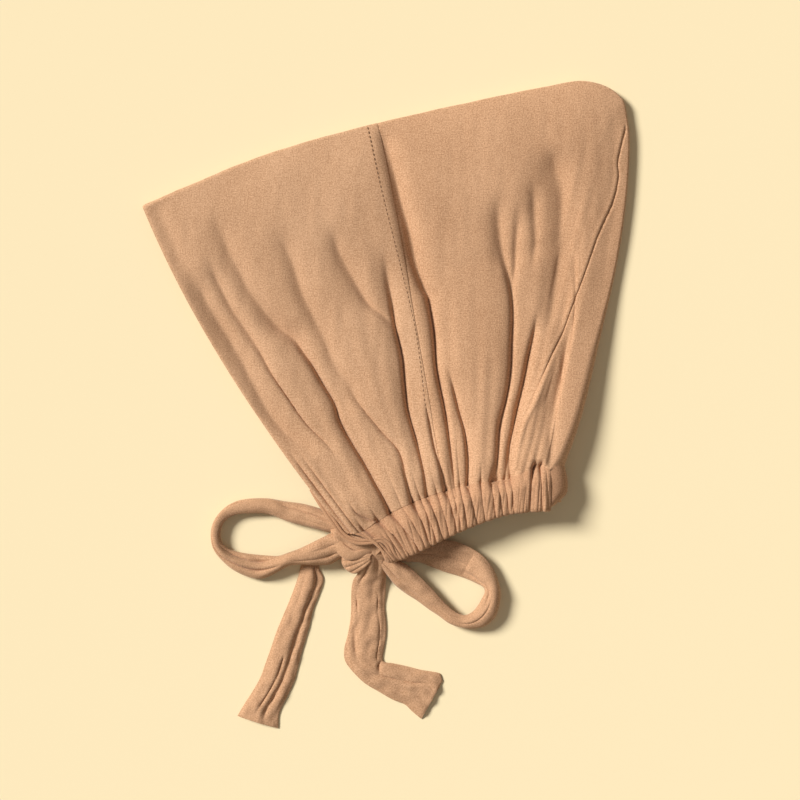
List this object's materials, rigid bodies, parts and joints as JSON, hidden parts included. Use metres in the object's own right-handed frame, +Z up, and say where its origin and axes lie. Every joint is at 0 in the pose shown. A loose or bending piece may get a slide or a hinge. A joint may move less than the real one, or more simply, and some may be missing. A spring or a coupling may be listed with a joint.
{
  "type": "hijab underscarf cap",
  "caption": "Tie-back underscarf cap of woven cloth, lying on its side: doubled face band, gathered neck casing and a tape tied in a bow.",
  "frame": {"origin": "middle of the footprint, on the surface that the cap lies on", "axes": "+Z up from the surface, +X towards the back of the head, +Y towards the crown"},
  "size_m": [0.3032, 0.4056, 0.0218],
  "materials": {
    "band_cloth": "plain woven viscose, doubled, matt tan",
    "bag_cloth": "plain woven viscose, single, matt tan",
    "casing_cloth": "plain woven viscose, gathered, matt tan",
    "tape_cloth": "sewn tube of plain woven viscose, pressed flat, matt tan"
  },
  "bodies": {
    "root": {"front_panel": "band_cloth", "crown_panel": "bag_cloth", "neck_casing": "casing_cloth", "neck_tie": "tape_cloth", "bow_knot": "tape_cloth", "left_loop": "tape_cloth", "right_loop": "tape_cloth", "left_tail": "tape_cloth", "right_tail": "tape_cloth"}
  },
  "joints": []
}
